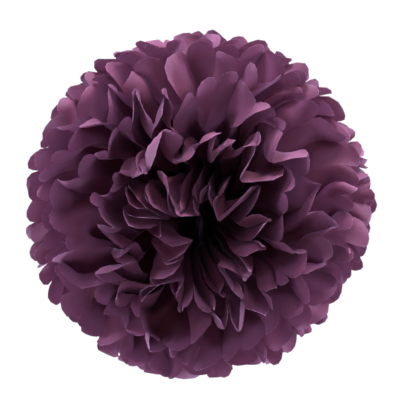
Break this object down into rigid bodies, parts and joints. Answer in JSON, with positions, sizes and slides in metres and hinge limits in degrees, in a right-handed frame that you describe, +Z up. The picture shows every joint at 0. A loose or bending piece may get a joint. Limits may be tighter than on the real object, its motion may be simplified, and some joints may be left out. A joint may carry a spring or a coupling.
{
  "type": "tissue paper pom pom",
  "caption": "Hanging or table decoration: a ball of round-ended petals made from pleated sheets of plum tissue paper, tied round the middle with wire and peeled apart.",
  "frame": {"origin": "on the surface it rests on, in the middle of the ball's bounding box", "axes": "+Z up, along the axis of the rosette, from the flattened petals underneath through the waist to the hollow on top; the folded stack was tied along Y, so the sheets' free edges meet near +X and -X"},
  "size_m": [0.25, 0.2484, 0.2386],
  "materials": {
    "tissue_paper": "matt, thin and translucent tissue, dyed dark plum",
    "tie_wire": "thin dark annealed steel craft wire"
  },
  "bodies": {
    "root": {"sheet_01": "tissue_paper", "sheet_02": "tissue_paper", "sheet_03": "tissue_paper", "sheet_04": "tissue_paper", "sheet_05": "tissue_paper", "sheet_06": "tissue_paper", "sheet_07": "tissue_paper", "sheet_08": "tissue_paper", "sheet_09": "tissue_paper", "sheet_10": "tissue_paper", "sheet_11": "tissue_paper", "sheet_12": "tissue_paper", "tie_wire": "tie_wire"}
  },
  "joints": []
}
